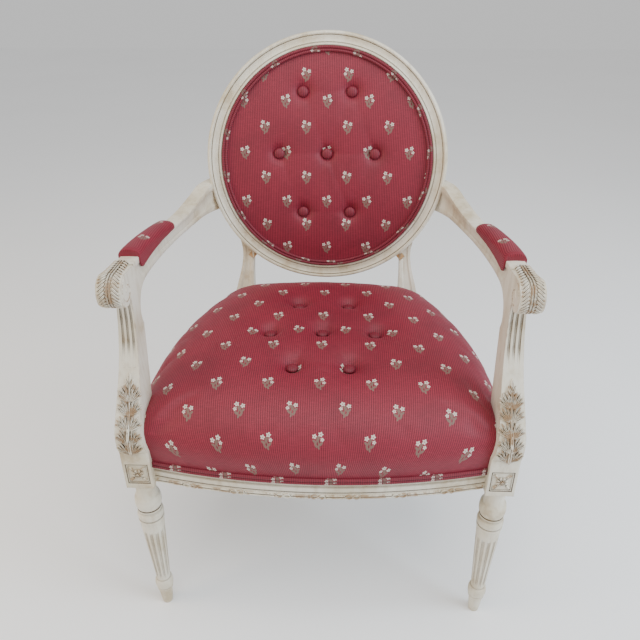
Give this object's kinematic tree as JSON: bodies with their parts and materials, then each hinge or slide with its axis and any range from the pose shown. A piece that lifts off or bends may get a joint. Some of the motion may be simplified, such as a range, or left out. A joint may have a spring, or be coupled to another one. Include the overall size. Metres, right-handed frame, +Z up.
{
  "type": "fauteuil",
  "caption": "Upholstered open armchair with an oval back, turned and fluted front legs, scrolled arms with pads and a domed, buttoned seat",
  "frame": {"origin": "on the floor, midway between the foremost and rearmost points and on the middle plane", "axes": "+Z up, -Y the side the sitter faces, +X to the right for someone who looks at the chair from the front"},
  "size_m": [0.643, 0.6533, 0.9486],
  "materials": {
    "painted_wood": "antique cream paint, rubbed",
    "bare_wood": "bare beech",
    "sprigged_fabric": "woven, crimson with pale sprigs",
    "webbing": "jute webbing",
    "hessian": "hessian",
    "stuffing": "curled hair under calico",
    "black_cloth": "thin black lining"
  },
  "bodies": {
    "root": {"arm_left": "painted_wood", "arm_pad_cover_left": "sprigged_fabric", "arm_pad_cover_right": "sprigged_fabric", "arm_pad_stuffing_left": "stuffing", "arm_pad_stuffing_right": "stuffing", "arm_right": "painted_wood", "arm_support_left": "painted_wood", "arm_support_right": "painted_wood", "arm_tenons": "bare_wood", "back_buttons": "sprigged_fabric", "back_cover": "sprigged_fabric", "back_frame_bottom": "painted_wood", "back_frame_left": "painted_wood", "back_frame_right": "painted_wood", "back_frame_tenons": "bare_wood", "back_frame_top": "painted_wood", "back_hessian": "hessian", "back_stuffing": "stuffing", "back_webbing": "webbing", "back_welt": "sprigged_fabric", "dust_cover": "black_cloth", "front_corner_block_left": "bare_wood", "front_corner_block_right": "bare_wood", "front_leg_left": "painted_wood", "front_leg_right": "painted_wood", "front_rail": "painted_wood", "outer_back_cover": "sprigged_fabric", "outer_back_welt": "sprigged_fabric", "rear_corner_block_left": "bare_wood", "rear_corner_block_right": "bare_wood", "rear_leg_left": "painted_wood", "rear_leg_right": "painted_wood", "rear_rail": "painted_wood", "seat_buttons": "sprigged_fabric", "seat_cover": "sprigged_fabric", "seat_hessian": "hessian", "seat_stuffing": "stuffing", "seat_webbing_crosswise": "webbing", "seat_webbing_lengthwise": "webbing", "seat_welt": "sprigged_fabric", "side_rail_left": "painted_wood", "side_rail_right": "painted_wood", "stile_tenons": "bare_wood"}
  },
  "joints": []
}
